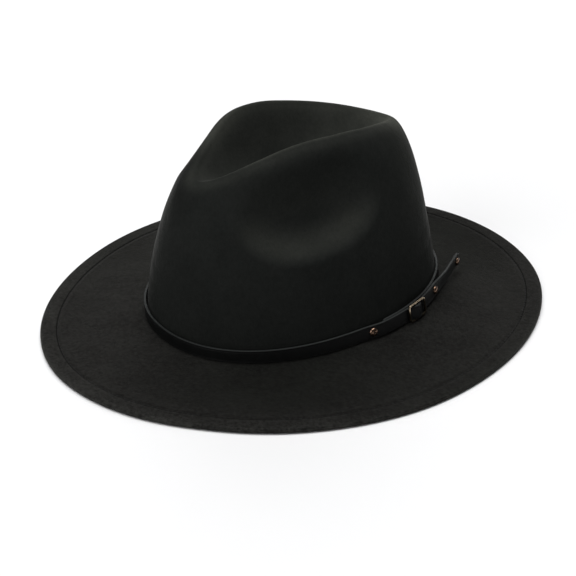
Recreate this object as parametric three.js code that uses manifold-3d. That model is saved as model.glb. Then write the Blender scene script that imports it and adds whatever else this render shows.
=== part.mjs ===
// A black felt fedora with a narrow leather belt round its crown.
// Millimetres, +Z up. The hat rests on z = 0, its front faces -Y and the wearer's left is +X.
import * as THREE from 'three';
import Module from 'manifold-3d';
import { mergeVertices } from 'three/addons/utils/BufferGeometryUtils.js';

const wasm = await Module();
wasm.setup();

// The brim: a ring of two plies of felt, flat near its edge and rising to the crown.
const BRIM_HALF_LENGTH = 180;
const BRIM_HALF_WIDTH = 156.6;
const BRIM_ROUNDNESS = 1.927;
const BRIM_EGG = 0.016;
const BRIM_THICKNESS = 3;
const BRIM_FLAT_SHARE = 0.2;
const BRIM_RISE_POWER = 1.8;
const STITCH_INSET = 11.6;
const STITCH_GROOVE_HALF_WIDTH = 0.8;
const STITCH_GROOVE_DEPTH = 0.7;

// The line where crown and brim meet, higher at the back than at the front.
const JOINT_HEIGHT = 10.2;
const JOINT_RISE_TO_BACK = 4.53;

// The crown: a felt shell whose outer face at the foot is this oval.
const FELT_THICKNESS = 2;
const CROWN_HALF_LENGTH = 103.6;
const CROWN_HALF_WIDTH = 82.4;
const CROWN_ROUNDNESS = 2.122;
const CROWN_EGG = -0.009;
const CROWN_SHIFT = -0.95;
const GAP = 0.3;

// The ridge that runs round the crown's top, and the crease that it encloses.
const RIDGE_HALF_WIDTH = 34.1;
const RIDGE_NARROWING = 1.12;
const RIDGE_TAPER_TO_BACK = -0.15;
const RIDGE_TAPER_AT_ENDS = -0.25;
const RIDGE_SHIFT = 1;
const RIDGE_HALF_LENGTH = 74.5;
// Ridge height at six stations, evenly spaced from the front end to the back end.
const RIDGE_HEIGHTS = [110.2, 126.7, 136.9, 133.6, 128.5, 120.8];
const CREASE_FLOOR = 103;
const CREASE_FLOOR_SLOPE = 0.08;
const CREASE_FLOOR_SHARE = 0.15;
const CREASE_STEEPNESS = 0.78;

// How the wall bends: its lower pull inwards, the height of that pull, and how far
// the wall runs level before it meets the ridge at the side, the front and the back.
const WALL_LEAN = 0.14;
const WALL_LEAN_HEIGHT = 0.3;
const SHOULDER_SIDE = 0.4;
const SHOULDER_FRONT = 0.47;
const SHOULDER_BACK = 0.48;

// The dent pinched into each side of the crown.
const DENT_DEPTH = 16.4;
const DENT_CENTRE_Y = -21;
const DENT_CENTRE_Z = 95.5;
const DENT_TILT = 7.5 * Math.PI / 180;
const DENT_REACH = { front: 50, back: 52, down: 26, up: 90 };
const DENT_RUN_OUT = 42;
const DENT_SQUARENESS = 2.4;
const DENT_FLATNESS = 3.5;
const DENT_EDGE = 1.7;
const DENT_FADE_START = 0.69;
const DENT_FADE_HALF_WIDTH = 25;

// The strap: it starts under the buckle, goes once round, and ends in a free tail.
const STRAP_THICKNESS = 1.6;
const STRAP_HEIGHT = 8.6;
const STRAP_CHAMFER = 0.4;
const STRAP_LIFT = 0.5;
const STRAP_LEAN = -0.9;
const STRAP_START = 9.1 * Math.PI / 180;
const STRAP_LEAVES = 40 * Math.PI / 180;
const OVERLAP_RAMP = 9 * Math.PI / 180;
const TAIL_LENGTH = 52;
const TAIL_POINT = 5;
const TAIL_RISE = 0.005;
const BULGE_HEIGHT = 3.1;
const BULGE_HALF_LENGTH = 4.2;

// The wire buckle and the rivets.
const BUCKLE_ANGLE = 25.2 * Math.PI / 180;
const BUCKLE_LENGTH = 19;
const BUCKLE_HEIGHT = 12.8;
const BUCKLE_RAISE = 0.2;
const BUCKLE_STANDS_OFF = 4.9;
const BAR_SET_BACK = 0.6;
const BUCKLE_CORNER = 2;
const WIRE_RADIUS = 0.8;
const BAR_RADIUS = 0.7;
const RIVET_RADIUS = 2.6;
const RIVET_DOME = 1.3;
const RIVET_DIMPLE_RADIUS = 0.7;
const RIVET_DIMPLE_DEPTH = 0.5;
const RIVET_POST_RADIUS = 1;
const RIVET_1_ANGLE = 4 * Math.PI / 180;
const RIVET_2_ALONG_TAIL = 3.2;
const RIVET_3_ALONG_TAIL = 47.3;

// Numbers of steps: enough for a true outline, few enough for a light solid.
const CROWN_SIDES = 64;
const WALL_ROWS = 12;
const TOP_ROWS = 6;
const BRIM_SIDES = 88;
const BRIM_EDGE_DEGREES = [-90, -45, 0, 45, 90];
const BRIM_STATIONS = [BRIM_FLAT_SHARE, 0.38, 0.55, 0.7, 0.85, 1];
const STRAP_COARSE_STEP = 5 * Math.PI / 180;
const STRAP_FINE_STEP = 1.5 * Math.PI / 180;
const TAIL_STEPS = 4;
const TAIL_POINT_SHARES = [0.5, 0.8, 1];
const TAIL_TIP_HEIGHT_SHARE = 0.45;
const ROUND_SIDES = 12;
const DOME_DEGREES = [30, 60];
const WIRE_SIDES = 8;
const WIRE_STEPS = 32;
const MERGE_WITHIN = 1e-4;

const TURN = 2 * Math.PI;

function signedPower(value, power) {
  return Math.sign(value) * Math.abs(value) ** power;
}

function smooth(value) {
  const t = Math.min(Math.max(value, 0), 1);
  return t * t * (3 - 2 * t);
}

// A point on a rounded oval: half width along X, half length along Y, wider towards the back by egg.
function ovalPoint(angle, size) {
  const x = size.halfWidth * signedPower(Math.cos(angle), 2 / size.roundness);
  const y = size.halfLength * signedPower(Math.sin(angle), 2 / size.roundness);
  return new THREE.Vector2(x * (1 + size.egg * Math.sin(angle)), y + size.shift);
}

// The oval's outward direction at an angle.
function ovalNormal(angle, size) {
  const step = 1e-3;
  const along = ovalPoint(angle + step, size).sub(ovalPoint(angle - step, size)).normalize();
  return new THREE.Vector2(along.y, -along.x);
}

const CROWN_OVAL = {
  halfLength: CROWN_HALF_LENGTH,
  halfWidth: CROWN_HALF_WIDTH,
  roundness: CROWN_ROUNDNESS,
  egg: CROWN_EGG,
  shift: CROWN_SHIFT,
};

const BRIM_OVAL = {
  halfLength: BRIM_HALF_LENGTH,
  halfWidth: BRIM_HALF_WIDTH,
  roundness: BRIM_ROUNDNESS,
  egg: BRIM_EGG,
  shift: 0,
};

function jointHeight(angle) {
  return JOINT_HEIGHT + JOINT_RISE_TO_BACK * Math.sin(angle);
}

// A closed mesh from rings of points: each ring is joined to the next, and the last to the first.
function closedTube(rings, closeEnds) {
  const positions = rings.flat().flatMap((p) => [p.x, p.y, p.z]);
  const count = rings[0].length;
  const faces = [];
  const last = closeEnds ? rings.length - 1 : rings.length;
  for (let i = 0; i < last; i += 1) {
    const next = (i + 1) % rings.length;
    for (let j = 0; j < count; j += 1) {
      const k = (j + 1) % count;
      faces.push(i * count + j, next * count + j, next * count + k);
      faces.push(i * count + j, next * count + k, i * count + k);
    }
  }
  if (closeEnds) {
    for (let j = 1; j < count - 1; j += 1) {
      faces.push(0, j, j + 1);
      const base = (rings.length - 1) * count;
      faces.push(base, base + j + 1, base + j);
    }
  }
  return meshGeometry(positions, faces);
}

function meshGeometry(positions, faces) {
  const geometry = new THREE.BufferGeometry();
  geometry.setAttribute('position', new THREE.Float32BufferAttribute(positions, 3));
  geometry.setIndex(faces);
  return geometry;
}

// Ridge height along the crown, a smooth curve through the six stations.
function ridgeHeight(along) {
  const heights = RIDGE_HEIGHTS;
  const last = heights.length - 1;
  const place = Math.min((along + 1) / 2 * last, last - 1e-6);
  const i = Math.floor(place);
  const f = place - i;
  const before = i === 0 ? 2 * heights[0] - heights[1] : heights[i - 1];
  const after = i === last - 1 ? 2 * heights[last] - heights[last - 1] : heights[i + 2];
  const [low, high] = [heights[i], heights[i + 1]];
  const cubic = 3 * (low - high) + after - before;
  const square = 2 * before - 5 * low + 4 * high - after;
  return low + 0.5 * f * (high - before + f * (square + f * cubic));
}

// How deep the side dent is at a place on the wall, from 0 to 1.
function dentShare(y, z) {
  const dy = y - DENT_CENTRE_Y;
  const dz = z - DENT_CENTRE_Z;
  const along = dy * Math.cos(DENT_TILT) + dz * Math.sin(DENT_TILT);
  const up = dz * Math.cos(DENT_TILT) - dy * Math.sin(DENT_TILT);
  const u = along / (along < 0 ? DENT_REACH.front : DENT_REACH.back);
  const v = up / (up < 0 ? DENT_REACH.down : DENT_REACH.up);
  const radius = (Math.abs(u) ** DENT_SQUARENESS + Math.abs(v) ** DENT_SQUARENESS) ** (1 / DENT_SQUARENESS);
  const runOut = 1 - smooth(up / DENT_RUN_OUT);
  return runOut * (1 - Math.min(radius, 1) ** DENT_FLATNESS) ** DENT_EDGE;
}

// A point on the crown's outer wall: t runs from 0 at the foot to 1 on the ridge.
function wallPoint(angle, t) {
  const cosine = Math.cos(angle);
  const sine = Math.sin(angle);
  const foot = ovalPoint(angle, CROWN_OVAL);
  const footHeight = jointHeight(angle) + GAP;
  const taper = 1 + RIDGE_TAPER_TO_BACK * sine + RIDGE_TAPER_AT_ENDS * sine * sine;
  const ridgeX = RIDGE_HALF_WIDTH * signedPower(cosine, RIDGE_NARROWING) * taper;
  const ridgeY = RIDGE_SHIFT + RIDGE_HALF_LENGTH * sine;
  const ridgeZ = ridgeHeight(sine);
  const outX = foot.x - ridgeX;
  const outY = foot.y - ridgeY;
  const end = sine > 0 ? SHOULDER_BACK : SHOULDER_FRONT;
  const shoulder = SHOULDER_SIDE + (end - SHOULDER_SIDE) * sine * sine;
  const control = [
    new THREE.Vector3(foot.x, foot.y, footHeight),
    new THREE.Vector3(
      foot.x - WALL_LEAN * outX,
      foot.y - WALL_LEAN * outY,
      footHeight + WALL_LEAN_HEIGHT * (ridgeZ - footHeight),
    ),
    new THREE.Vector3(ridgeX + shoulder * outX, ridgeY + shoulder * outY, ridgeZ),
    new THREE.Vector3(ridgeX, ridgeY, ridgeZ),
  ];
  const point = new THREE.CubicBezierCurve3(...control).getPoint(t);
  const fade = 1 - smooth((t - DENT_FADE_START) / (1 - DENT_FADE_START));
  const nearMiddle = Math.min(Math.abs(point.x) / DENT_FADE_HALF_WIDTH, 1);
  point.x -= Math.sign(point.x) * DENT_DEPTH * dentShare(point.y, point.z) * fade * nearMiddle;
  return point;
}

// A point on the creased top: m runs from 0 on the ridge to 1 in the middle of the crease.
function topPoint(angle, m) {
  const ridge = wallPoint(angle, 1);
  const middleY = RIDGE_SHIFT;
  const x = ridge.x * (1 - m);
  const y = ridge.y * (1 - m) + middleY * m;
  const fall = Math.min(m / (1 - CREASE_FLOOR_SHARE), 1) ** CREASE_STEEPNESS;
  const floor = CREASE_FLOOR + CREASE_FLOOR_SLOPE * y;
  return new THREE.Vector3(x, y, ridge.z + (floor - ridge.z) * Math.sin(fall * Math.PI / 2) ** 2);
}

// The crown's outer face as one function: v from 0 to 1 is the wall, from 1 to 2 the creased top.
function crownPoint(angle, v) {
  return v <= 1 ? wallPoint(angle, v) : topPoint(angle, v - 1);
}

function crownNormal(angle, v) {
  const step = 0.02;
  const low = Math.max(v - step, 0);
  const around = crownPoint(angle + step, v).sub(crownPoint(angle - step, v));
  const upwards = crownPoint(angle, v + step).sub(crownPoint(angle, low));
  return around.cross(upwards).normalize();
}

// The felt shell: the outer face, and an inner face one felt thickness inside it.
function crownGeometry() {
  const steps = [];
  for (let i = 0; i <= WALL_ROWS; i += 1) {
    steps.push(i / WALL_ROWS);
  }
  for (let i = 1; i <= TOP_ROWS; i += 1) {
    steps.push(1 + (1 - CREASE_FLOOR_SHARE) * i / TOP_ROWS);
  }
  const positions = [];
  const faces = [];
  const rows = steps.length;
  for (const side of [0, 1]) {
    for (const v of steps) {
      for (let i = 0; i < CROWN_SIDES; i += 1) {
        const angle = TURN * i / CROWN_SIDES;
        const point = crownPoint(angle, v);
        const normal = crownNormal(angle, v);
        if (v === 0) {
          normal.setZ(0).normalize();
        }
        point.addScaledVector(normal, -side * FELT_THICKNESS);
        positions.push(point.x, point.y, point.z);
      }
    }
    const floor = CREASE_FLOOR + CREASE_FLOOR_SLOPE * RIDGE_SHIFT - side * FELT_THICKNESS;
    positions.push(0, RIDGE_SHIFT, floor);
  }
  const sideStart = rows * CROWN_SIDES + 1;
  const addFace = (side, a, b, c) => {
    const start = side * sideStart;
    const face = side === 0 ? [a, b, c] : [a, c, b];
    faces.push(...face.map((index) => index + start));
  };
  for (const side of [0, 1]) {
    for (let row = 0; row < rows - 1; row += 1) {
      for (let i = 0; i < CROWN_SIDES; i += 1) {
        const k = (i + 1) % CROWN_SIDES;
        const low = row * CROWN_SIDES;
        const high = low + CROWN_SIDES;
        addFace(side, low + i, low + k, high + k);
        addFace(side, low + i, high + k, high + i);
      }
    }
    const ring = (rows - 1) * CROWN_SIDES;
    for (let i = 0; i < CROWN_SIDES; i += 1) {
      addFace(side, ring + i, ring + (i + 1) % CROWN_SIDES, rows * CROWN_SIDES);
    }
  }
  for (let i = 0; i < CROWN_SIDES; i += 1) {
    const k = (i + 1) % CROWN_SIDES;
    faces.push(i, sideStart + k, k);
    faces.push(i, sideStart + i, sideStart + k);
  }
  return meshGeometry(positions, faces);
}

// The brim's section at an angle, as places in from the edge with heights.
function brimSection(angle) {
  const edge = ovalPoint(angle, BRIM_OVAL);
  const inner = ovalPoint(angle, CROWN_OVAL);
  inner.addScaledVector(ovalNormal(angle, CROWN_OVAL), -FELT_THICKNESS);
  const width = edge.distanceTo(inner);
  const inwards = inner.clone().sub(edge).divideScalar(width);
  const rise = jointHeight(angle) - BRIM_THICKNESS;
  const height = (inset) => {
    const share = Math.max((inset / width - BRIM_FLAT_SHARE) / (1 - BRIM_FLAT_SHARE), 0);
    return rise * share ** BRIM_RISE_POWER;
  };
  const radius = BRIM_THICKNESS / 2;
  const section = [];
  for (const degrees of BRIM_EDGE_DEGREES) {
    const turn = degrees * Math.PI / 180;
    section.push([radius - radius * Math.cos(turn), radius + radius * Math.sin(turn)]);
  }
  section.push([STITCH_INSET - STITCH_GROOVE_HALF_WIDTH, BRIM_THICKNESS]);
  section.push([STITCH_INSET, BRIM_THICKNESS - STITCH_GROOVE_DEPTH]);
  section.push([STITCH_INSET + STITCH_GROOVE_HALF_WIDTH, BRIM_THICKNESS]);
  for (const share of BRIM_STATIONS) {
    section.push([share * width, BRIM_THICKNESS + height(share * width)]);
  }
  for (const share of [...BRIM_STATIONS].reverse()) {
    section.push([share * width, height(share * width)]);
  }
  return section.map(([inset, z]) => {
    const plan = edge.clone().addScaledVector(inwards, inset);
    return new THREE.Vector3(plan.x, plan.y, z);
  });
}

function brimGeometry() {
  const rings = [];
  for (let i = 0; i < BRIM_SIDES; i += 1) {
    rings.push(brimSection(TURN * i / BRIM_SIDES));
  }
  return closedTube(rings, false);
}

// How far the strap's inner face stands off the crown's foot as it goes round.
function strapOffset(angle) {
  const overlap = smooth((angle - (STRAP_START + TURN - OVERLAP_RAMP)) / OVERLAP_RAMP);
  const fromBuckle = (angle - BUCKLE_ANGLE - TURN) * CROWN_HALF_WIDTH / BULGE_HALF_LENGTH;
  const bulge = BULGE_HEIGHT * Math.exp(-fromBuckle * fromBuckle);
  return GAP + overlap * (STRAP_THICKNESS + GAP) + bulge;
}

// The strap's lower inner edge, seen from above.
function strapPlan(angle) {
  return ovalPoint(angle, CROWN_OVAL).addScaledVector(ovalNormal(angle, CROWN_OVAL), strapOffset(angle));
}

// A frame that travels along the strap: its place at the lower inner edge, and its outward way.
function strapFrame(angle) {
  const step = 1e-3;
  const along = strapPlan(angle + step).sub(strapPlan(angle - step)).normalize();
  const outward = new THREE.Vector2(along.y, -along.x);
  return { place: strapPlan(angle), outward, base: jointHeight(angle) + STRAP_LIFT, lean: STRAP_LEAN };
}

// The free tail runs straight on from where the strap leaves the crown.
function tailFrame(distance) {
  const leave = strapFrame(STRAP_LEAVES + TURN);
  const along = new THREE.Vector2(-leave.outward.y, leave.outward.x);
  const place = leave.place.clone().addScaledVector(along, distance);
  const lean = STRAP_LEAN * (1 - smooth(distance / TAIL_LENGTH * 2));
  return { place, outward: leave.outward, base: leave.base + TAIL_RISE * distance, lean };
}

// A point on the strap: height up it, and depth out from its inner face.
function strapPoint(frame, height, depth) {
  const out = depth + frame.lean * height / STRAP_HEIGHT;
  const plan = frame.place.clone().addScaledVector(frame.outward, out);
  return new THREE.Vector3(plan.x, plan.y, frame.base + height);
}

function strapSection(frame, heightShare) {
  const cut = (1 - heightShare) * STRAP_HEIGHT / 2;
  const top = STRAP_HEIGHT - cut;
  const deep = STRAP_THICKNESS;
  const outline = [
    [cut, 0],
    [cut, deep - STRAP_CHAMFER],
    [cut + STRAP_CHAMFER, deep],
    [top - STRAP_CHAMFER, deep],
    [top, deep - STRAP_CHAMFER],
    [top, 0],
  ];
  return outline.map(([height, depth]) => strapPoint(frame, height, depth));
}

function strapGeometry() {
  const rings = [];
  const fineFrom = STRAP_START + TURN - OVERLAP_RAMP;
  const leaves = STRAP_LEAVES + TURN;
  for (let angle = STRAP_START; angle < fineFrom - STRAP_COARSE_STEP / 2; angle += STRAP_COARSE_STEP) {
    rings.push(strapSection(strapFrame(angle), 1));
  }
  for (let angle = fineFrom; angle < leaves - STRAP_FINE_STEP / 2; angle += STRAP_FINE_STEP) {
    rings.push(strapSection(strapFrame(angle), 1));
  }
  const straight = TAIL_LENGTH - TAIL_POINT;
  for (let i = 0; i <= TAIL_STEPS; i += 1) {
    rings.push(strapSection(tailFrame(straight * i / TAIL_STEPS), 1));
  }
  for (const share of TAIL_POINT_SHARES) {
    const narrow = Math.sqrt(1 - (1 - TAIL_TIP_HEIGHT_SHARE ** 2) * share * share);
    rings.push(strapSection(tailFrame(straight + TAIL_POINT * share), narrow));
  }
  return closedTube(rings, true);
}

function toSolid(geometry) {
  const bare = geometry.index ? geometry.toNonIndexed() : geometry.clone();
  bare.deleteAttribute('normal');
  bare.deleteAttribute('uv');
  const merged = mergeVertices(bare, MERGE_WITHIN);
  return new wasm.Manifold(new wasm.Mesh({
    numProp: 3,
    vertProperties: new Float32Array(merged.attributes.position.array),
    triVerts: new Uint32Array(merged.index.array),
  }));
}

function toGeometry(solid) {
  const mesh = solid.getMesh();
  return meshGeometry(Array.from(mesh.vertProperties), Array.from(mesh.triVerts));
}

// A rivet's outline turned about its axis: a dome with a small dimple, and a post through the strap.
function rivetGeometry() {
  const profile = [new THREE.Vector2(0, -STRAP_THICKNESS)];
  profile.push(new THREE.Vector2(RIVET_POST_RADIUS, -STRAP_THICKNESS));
  profile.push(new THREE.Vector2(RIVET_POST_RADIUS, GAP));
  profile.push(new THREE.Vector2(RIVET_RADIUS, GAP));
  for (const degrees of DOME_DEGREES) {
    const turn = degrees * Math.PI / 180;
    profile.push(new THREE.Vector2(RIVET_RADIUS * Math.cos(turn), GAP + RIVET_DOME * Math.sin(turn)));
  }
  profile.push(new THREE.Vector2(RIVET_DIMPLE_RADIUS, GAP + RIVET_DOME));
  profile.push(new THREE.Vector2(0, GAP + RIVET_DOME - RIVET_DIMPLE_DEPTH));
  return new THREE.LatheGeometry(profile, ROUND_SIDES);
}

// Where a rivet sits: on the strap's outer face at mid height, with its axis straight out.
function rivetPlacement(frame) {
  const half = STRAP_HEIGHT / 2;
  const place = strapPoint(frame, half, STRAP_THICKNESS);
  const out = new THREE.Vector3(frame.outward.x, frame.outward.y, -frame.lean / STRAP_HEIGHT).normalize();
  const turn = new THREE.Quaternion().setFromUnitVectors(new THREE.Vector3(0, 1, 0), out);
  return new THREE.Matrix4().compose(place, turn, new THREE.Vector3(1, 1, 1));
}

// A hole through the strap for a rivet's post.
function postHole(placement) {
  const length = 3 * STRAP_THICKNESS;
  const radius = RIVET_POST_RADIUS + GAP;
  const hole = new THREE.CylinderGeometry(radius, radius, length, ROUND_SIDES);
  return hole.translate(0, -STRAP_THICKNESS / 2, 0).applyMatrix4(placement);
}

// The buckle: a wire bent to a rounded rectangle, with a straight bar across its middle.
function buckleGeometry() {
  const halfLength = BUCKLE_LENGTH / 2 - WIRE_RADIUS;
  const halfHeight = BUCKLE_HEIGHT / 2 - WIRE_RADIUS;
  const path = new THREE.CurvePath();
  const corners = [[1, 1], [-1, 1], [-1, -1], [1, -1]];
  corners.forEach(([signX, signY], i) => {
    const [nextX, nextY] = corners[(i + 1) % corners.length];
    const corner = new THREE.Vector3(signX * halfLength, signY * halfHeight, 0);
    const next = new THREE.Vector3(nextX * halfLength, nextY * halfHeight, 0);
    const previous = corners[(i + 3) % corners.length];
    const before = new THREE.Vector3(previous[0] * halfLength, previous[1] * halfHeight, 0);
    const inward = before.sub(corner).normalize();
    const onward = next.clone().sub(corner).normalize();
    const start = corner.clone().addScaledVector(inward, BUCKLE_CORNER);
    const end = corner.clone().addScaledVector(onward, BUCKLE_CORNER);
    path.add(new THREE.QuadraticBezierCurve3(start, corner, end));
    path.add(new THREE.LineCurve3(end, next.clone().addScaledVector(onward, -BUCKLE_CORNER)));
  });
  const rings = [];
  for (let i = 0; i < WIRE_STEPS; i += 1) {
    const share = i / WIRE_STEPS;
    const centre = path.getPointAt(share);
    const along = path.getTangentAt(share);
    const side = new THREE.Vector3(along.y, -along.x, 0).normalize();
    const ring = [];
    for (let k = 0; k < WIRE_SIDES; k += 1) {
      const turn = TURN * k / WIRE_SIDES;
      const point = centre.clone().addScaledVector(side, WIRE_RADIUS * Math.cos(turn));
      ring.push(point.setZ(WIRE_RADIUS * Math.sin(turn)));
    }
    rings.push(ring);
  }
  const frame = toSolid(closedTube(rings, false));
  const barShape = new THREE.CylinderGeometry(BAR_RADIUS, BAR_RADIUS, 2 * halfHeight, WIRE_SIDES);
  const bar = toSolid(barShape.translate(0, 0, -BAR_SET_BACK));
  return toGeometry(frame.add(bar));
}

const felt = new THREE.MeshStandardMaterial({ color: 0x1a1a1b, roughness: 0.95, metalness: 0 });
const leather = new THREE.MeshStandardMaterial({ color: 0x0d0d0e, roughness: 0.4, metalness: 0 });
const bronze = new THREE.MeshStandardMaterial({ color: 0x8a6a45, roughness: 0.35, metalness: 1 });

const hat = new THREE.Group();

function addPiece(name, geometry, material) {
  const mesh = new THREE.Mesh(geometry, material);
  mesh.name = name;
  hat.add(mesh);
  return mesh;
}

addPiece('crown', crownGeometry(), felt);
addPiece('brim', brimGeometry(), felt);

const rivetFrames = [
  strapFrame(RIVET_1_ANGLE + TURN),
  tailFrame(RIVET_2_ALONG_TAIL),
  tailFrame(RIVET_3_ALONG_TAIL),
];
let strap = toSolid(strapGeometry());
rivetFrames.forEach((frame, i) => {
  const placement = rivetPlacement(frame);
  strap = strap.subtract(toSolid(postHole(placement)));
  addPiece(`rivet_${i + 1}`, rivetGeometry().applyMatrix4(placement), bronze);
});
addPiece('hat_belt', toGeometry(strap), leather);

// The buckle stands upright along the strap, its middle bar behind the strap's bulge.
const buckle = addPiece('buckle', buckleGeometry(), bronze);
const seat = strapFrame(BUCKLE_ANGLE + TURN);
const seatDepth = BUCKLE_STANDS_OFF - strapOffset(BUCKLE_ANGLE + TURN);
buckle.position.copy(strapPoint(seat, STRAP_HEIGHT / 2 + BUCKLE_RAISE, seatDepth));
const alongStrap = new THREE.Vector3(-seat.outward.y, seat.outward.x, 0);
const upStrap = strapPoint(seat, STRAP_HEIGHT, 0).sub(strapPoint(seat, 0, 0)).normalize();
const outOfStrap = alongStrap.clone().cross(upStrap);
buckle.setRotationFromMatrix(new THREE.Matrix4().makeBasis(alongStrap, upStrap, outOfStrap));

export default hat;
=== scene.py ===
# %% [markdown]
# A black felt fedora with a narrow leather belt
#
# A felt hat is a good first model of something soft and dark. Its shape is a handful of smooth curves, so
# every piece here is a formula worked out on a grid with numpy. What makes it look real is the finish:
# matte wool that only lights up where it is seen edge-on, glossy leather, and a little old bronze.
#
# The hat already exists as plain solids. They are loaded first as a fixed frame, so that every new piece
# is in metres and in the right place, and can be measured against its solid.

# %% Load the solids and keep their box
import math

import bpy
import numpy as np
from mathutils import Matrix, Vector


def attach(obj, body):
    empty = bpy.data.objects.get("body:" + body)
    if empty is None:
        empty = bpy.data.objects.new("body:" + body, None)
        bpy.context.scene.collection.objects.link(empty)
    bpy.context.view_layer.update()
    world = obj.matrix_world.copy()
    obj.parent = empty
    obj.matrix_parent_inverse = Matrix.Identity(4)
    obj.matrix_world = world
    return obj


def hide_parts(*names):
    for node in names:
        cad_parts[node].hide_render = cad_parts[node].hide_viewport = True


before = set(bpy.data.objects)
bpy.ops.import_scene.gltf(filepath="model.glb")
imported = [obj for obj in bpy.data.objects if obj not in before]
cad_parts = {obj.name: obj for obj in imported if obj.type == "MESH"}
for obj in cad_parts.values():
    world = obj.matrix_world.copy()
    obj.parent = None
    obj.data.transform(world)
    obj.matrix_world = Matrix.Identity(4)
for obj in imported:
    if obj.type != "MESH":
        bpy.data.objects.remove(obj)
scene = bpy.context.scene
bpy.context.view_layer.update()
print("solids:", sorted(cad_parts))

# %% [markdown]
# Sizes and small tools
#
# Hat makers work in millimetres, so the sizes below are millimetres and one number turns them into metres
# when a mesh is made. The hat's front faces -Y and the wearer's left is +X. An angle of 0 is at +X, and a
# quarter turn is at the back. Nearly everything on a hat follows one of two ovals seen from above, the
# crown's foot and the brim's edge, so an oval is the first tool to make.

# %% Ovals, smooth steps and soft waves
MM = 0.001
TURN = 2 * math.pi
FELT = 2.0
CROWN_OVAL = {"half_length": 103.6, "half_width": 82.4, "roundness": 2.122, "egg": -0.009, "shift": -0.95}
BRIM_OVAL = {"half_length": 180.0, "half_width": 156.6, "roundness": 1.927, "egg": 0.016, "shift": 0.0}
JOINT_HEIGHT = 10.2
JOINT_RISE = 4.53


def signed_power(value, power):
    """The size of each value raised to a power, with the value's own sign put back."""
    return np.sign(value) * np.abs(value) ** power


def smooth_step(value):
    """A share held between nought and one: three of its squares less two of its cubes."""
    share = np.clip(value, 0, 1)
    return share * share * (3 - 2 * share)


def oval_point(angle, oval):
    """Half width times the cosine and half length times the sine, each raised to two over the roundness;
    the width then grows with the sine by the egg share, and the whole oval moves back by its shift."""
    power = 2 / oval["roundness"]
    x = oval["half_width"] * signed_power(np.cos(angle), power) * (1 + oval["egg"] * np.sin(angle))
    y = oval["half_length"] * signed_power(np.sin(angle), power) + oval["shift"]
    return np.stack([x, y], -1)


def unit(ways):
    """Each way divided by its length."""
    return ways / np.linalg.norm(ways, axis=-1, keepdims=True)


def with_height(plan, height):
    """Points in space, from points on a plan and their heights."""
    return np.concatenate([plan, np.broadcast_to(height, plan.shape[:-1])[..., None]], -1)


def circle(radius, turns):
    """Points on a circle: the radius times the cosine, and the radius times the sine."""
    return np.stack([radius * np.cos(turns), radius * np.sin(turns)], -1)


def outward_of(path, angle, step=1e-3):
    """The way along a path, from a step before to a step after, turned a quarter turn to the outside."""
    along = unit(path(angle + step) - path(angle - step))
    return np.stack([along[..., 1], -along[..., 0]], -1)


def bell(away, half_width):
    """A bell curve: e to the power of less the square of the distance over the half width."""
    return np.exp(-((away / half_width) ** 2))


def bells_round(angle, bells):
    """Bell curves round the hat added up. Each is given by its height and then, in degrees, by its middle
    and its half width; the angle is in radians."""
    return sum(height * bell((np.degrees(angle) - middle + 180) % 360 - 180, half_width)
               for height, middle, half_width in bells)


def crown_foot(angle):
    """The crown's oval at its foot."""
    return oval_point(angle, CROWN_OVAL)


def joint_height(angle):
    """The height where crown and brim meet: a middle height, plus a rise times the sine, so the back is
    higher than the front."""
    return JOINT_HEIGHT + JOINT_RISE * np.sin(angle)


def soft_waves(points, waves):
    """For each height and length in millimetres, the height times the sum of three products of two sines,
    each along its own direction. All are added up, since a hand-made surface is never quite even."""
    total = 0
    for height, length in waves:
        x, y, z = (points[..., i] * TURN / length for i in range(3))
        first = np.sin(x + 0.7 * z + 1.3) * np.sin(0.9 * y - 0.4 * z)
        second = np.sin(1.9 * x - 0.8 * y + 0.5) * np.sin(1.3 * z + 0.6 * y + 2.1)
        third = np.sin(0.6 * x + 2.3 * y + 4.0) * np.sin(1.1 * x - 1.7 * z)
        total = total + height * ((first + 0.6 * second + 0.5 * third) / 1.6)
    return total


print("round the crown's foot: %.0f mm" % np.linalg.norm(
    np.diff(crown_foot(np.linspace(0, TURN, 721)), axis=0), axis=1).sum())

# %% [markdown]
# From a grid of points to a mesh
#
# Every piece below is a stack of rings. A ring is joined to the next one with squares. If the stack is a
# loop, like the brim, the last ring is joined to the first. If it has two ends, like a strap, each end is
# closed with a fan of triangles. The sign of a closed mesh's volume tells whether its faces point
# outwards, so the builder measures it and turns them round if it has to.

# %% The mesh builder
def ring_squares(rings, sides, loop):
    """A square takes a corner, its neighbour in the same ring, and the same two of the next ring."""
    index = np.arange(rings * sides).reshape(rings, sides)
    here = index if loop else index[:-1]
    there = np.roll(index, -1, 0) if loop else index[1:]
    return np.stack([here, there, np.roll(there, -1, 1), np.roll(here, -1, 1)], -1).reshape(-1, 4)


def end_fans(rings, sides, loop):
    """Triangles from each end ring to one extra point, added after the grid's points; a loop has none."""
    if loop:
        return np.zeros((0, 3), int)
    ring = np.arange(sides)
    last = (rings - 1) * sides + ring
    first_tip = np.full(sides, rings * sides)
    first = np.stack([first_tip, ring, np.roll(ring, -1)], -1)
    return np.concatenate([first, np.stack([first_tip + 1, np.roll(last, -1), last], -1)])


def turned_out(points, squares, triangles):
    """Closed faces, turned inside out if their volume is negative, and that volume: a sixth of the sum of
    every triangle's first corner dotted with the cross of the other two."""
    halves = np.concatenate([squares[:, :3], squares[:, [0, 2, 3]], triangles])
    a, b, c = (points[halves[:, i]] for i in range(3))
    volume = float(np.einsum("ij,ij->i", a, np.cross(b, c)).sum() / 6)
    step = -1 if volume < 0 else 1
    return squares[:, ::step], triangles[:, ::step], abs(volume)


def add_object(name, data):
    """A new object in the scene."""
    added = bpy.data.objects.new(name, data)
    scene.collection.objects.link(added)
    return added


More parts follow.
